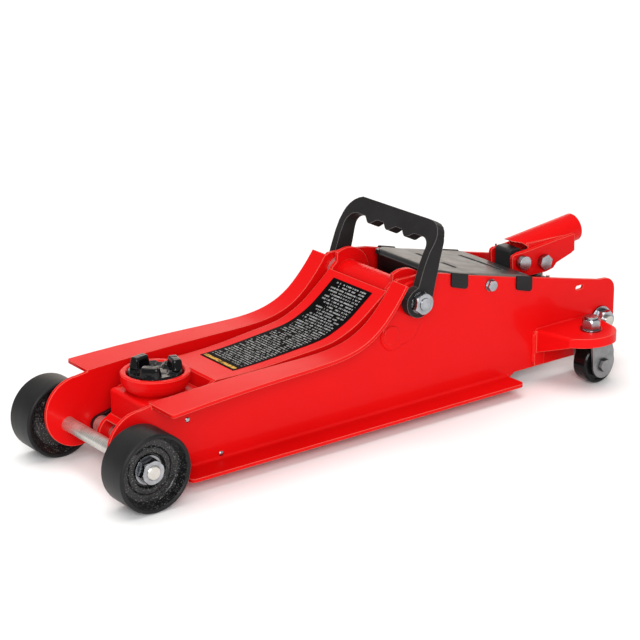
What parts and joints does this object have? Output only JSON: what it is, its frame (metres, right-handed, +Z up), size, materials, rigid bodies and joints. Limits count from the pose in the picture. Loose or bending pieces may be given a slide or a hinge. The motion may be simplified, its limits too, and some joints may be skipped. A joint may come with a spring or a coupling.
{
  "type": "hydraulic floor jack",
  "caption": "Low-profile trolley jack with pressed side frames, a levelling lift arm carrying a swivel saddle, rear casters, carry handle and pump-handle socket.",
  "frame": {"origin": "middle of the bounding box's footprint, on the floor", "axes": "+Z up; -X to the saddle and front wheels, +X to the pump-handle socket and casters; Y across, left is -Y"},
  "size_m": [0.5525, 0.206, 0.1714],
  "materials": {
    "red_paint": "gloss powder coat",
    "wheel_black": "satin black cast",
    "saddle_black": "gloss black enamel",
    "handle_black": "satin charcoal powder coat",
    "link_black": "gloss black paint",
    "cover_black": "satin moulded",
    "decal": "printed film",
    "zinc": "bright zinc plate",
    "axle_steel": "turned steel",
    "caster_zinc": "dull zinc plate",
    "caster_black": "gloss moulded",
    "block_black": "satin black paint",
    "ram_chrome": "polished",
    "seal_rubber": "dull",
    "spring_steel": "oiled"
  },
  "bodies": {
    "frame": {"side_plate_left": "red_paint", "side_plate_right": "red_paint", "pivot_doublers": "red_paint", "mid_cross_tube": "red_paint", "front_axle": "axle_steel", "axle_spacers": "axle_steel", "axle_washers": "zinc", "axle_nuts": "zinc", "pivot_shaft": "axle_steel", "pivot_spacers": "axle_steel", "link_pins": "red_paint", "handle_bolts": "zinc", "rear_tie_rod": "zinc", "tie_washers": "zinc", "tie_nuts": "zinc", "caster_bracket_left": "red_paint", "caster_bracket_right": "red_paint", "kingpins": "zinc", "pump_block": "block_black", "ram_cylinder": "block_black", "gland_nut": "block_black", "filler_plug": "zinc", "spring_anchor_pins": "axle_steel", "return_springs": "spring_steel", "top_cover": "cover_black", "cover_screws": "zinc", "cover_screw_blocks": "red_paint", "socket_pin": "zinc", "socket_cotter": "zinc"},
    "arm": {"lift_arm": "red_paint", "arm_pivot_tube": "red_paint", "ram_cross_pin": "axle_steel", "saddle_pin": "axle_steel", "saddle_pin_clips": "zinc", "arm_label": "decal"},
    "saddle_mount": {"saddle_bracket": "red_paint", "saddle_cup": "red_paint", "link_front_pin": "axle_steel", "link_spacers": "axle_steel"},
    "saddle_plate": {"saddle": "saddle_black", "saddle_retainer": "zinc"},
    "links": {"level_links": "link_black"},
    "handle": {"carry_handle": "handle_black"},
    "socket": {"handle_socket": "red_paint", "roller_bolt": "zinc", "pump_roller": "axle_steel"},
    "plunger": {"pump_plunger": "ram_chrome", "plunger_spring": "spring_steel"},
    "ram": {"ram_rod": "ram_chrome", "ram_piston_seal": "seal_rubber", "ram_yoke": "link_black"},
    "valve": {"release_valve": "axle_steel"},
    "front_wheel_l": {"front_wheel_left": "wheel_black"},
    "front_wheel_r": {"front_wheel_right": "wheel_black"},
    "caster_l": {"caster_fork_left": "caster_zinc", "caster_bolt_left": "caster_zinc"},
    "caster_r": {"caster_fork_right": "caster_zinc", "caster_bolt_right": "caster_zinc"},
    "caster_wheel_l": {"caster_wheel_left": "caster_black"},
    "caster_wheel_r": {"caster_wheel_right": "caster_black"}
  },
  "joints": [
    {"name": "arm_lift", "type": "hinge", "parent": "frame", "child": "arm", "pos_m": [0.03625, 0, 0.108], "axis": [0, 1, 0], "range_deg": [0, 60]},
    {"name": "saddle_level", "type": "hinge", "parent": "arm", "child": "saddle_mount", "pos_m": [-0.19375, 0, 0.0545], "axis": [0, 1, 0], "range_deg": [-60.5, 0.2]},
    {"name": "saddle_swivel", "type": "hinge", "parent": "saddle_mount", "child": "saddle_plate", "pos_m": [-0.18825, 0, 0.08], "axis": [0, 0, 1], "continuous": true},
    {"name": "link_swing", "type": "hinge", "parent": "frame", "child": "links", "pos_m": [0.01425, 0, 0.08], "axis": [0, 1, 0], "range_deg": [-0.2, 60.5]},
    {"name": "ram_stroke", "type": "slide", "parent": "frame", "child": "ram", "axis": [-1, 0, 0], "range_m": [-0.0002, 0.0405]},
    {"name": "carry_handle_swing", "type": "hinge", "parent": "frame", "child": "handle", "pos_m": [0.03625, 0, 0.108], "axis": [0, 1, 0], "range_deg": [-36, 38]},
    {"name": "socket_pump", "type": "hinge", "parent": "frame", "child": "socket", "pos_m": [0.19125, 0, 0.1017], "axis": [0, -1, 0], "range_deg": [0, 55]},
    {"name": "plunger_stroke", "type": "slide", "parent": "frame", "child": "plunger", "axis": [0, 0, 1], "range_m": [-0.0002, 0.0245], "deforming": ["plunger_spring"]},
    {"name": "release_turn", "type": "hinge", "parent": "frame", "child": "valve", "pos_m": [0.22625, 0, 0.066], "axis": [1, 0, 0], "range_deg": [-360, 0]},
    {"name": "front_wheel_spin_l", "type": "hinge", "parent": "frame", "child": "front_wheel_l", "pos_m": [-0.24375, -0.071, 0.0325], "axis": [0, 1, 0], "continuous": true},
    {"name": "front_wheel_spin_r", "type": "hinge", "parent": "frame", "child": "front_wheel_r", "pos_m": [-0.24375, 0.071, 0.0325], "axis": [0, 1, 0], "continuous": true},
    {"name": "caster_swivel_l", "type": "hinge", "parent": "frame", "child": "caster_l", "pos_m": [0.21875, -0.08, 0.042], "axis": [0, 0, 1], "continuous": true},
    {"name": "caster_swivel_r", "type": "hinge", "parent": "frame", "child": "caster_r", "pos_m": [0.21875, 0.08, 0.042], "axis": [0, 0, 1], "continuous": true},
    {"name": "caster_wheel_spin_l", "type": "hinge", "parent": "caster_l", "child": "caster_wheel_l", "pos_m": [0.22375, -0.08, 0.0185], "axis": [0, 1, 0], "continuous": true},
    {"name": "caster_wheel_spin_r", "type": "hinge", "parent": "caster_r", "child": "caster_wheel_r", "pos_m": [0.22375, 0.08, 0.0185], "axis": [0, 1, 0], "continuous": true}
  ],
  "couplings": [
    {"joint": "saddle_level", "follows": "arm_lift", "ratio": -1},
    {"joint": "link_swing", "follows": "arm_lift", "ratio": 1},
    {"joint": "ram_stroke", "follows": "arm_lift", "m_per_rad": 0.0381},
    {"joint": "plunger_stroke", "follows": "socket_pump", "m_per_rad": 0.0245}
  ]
}
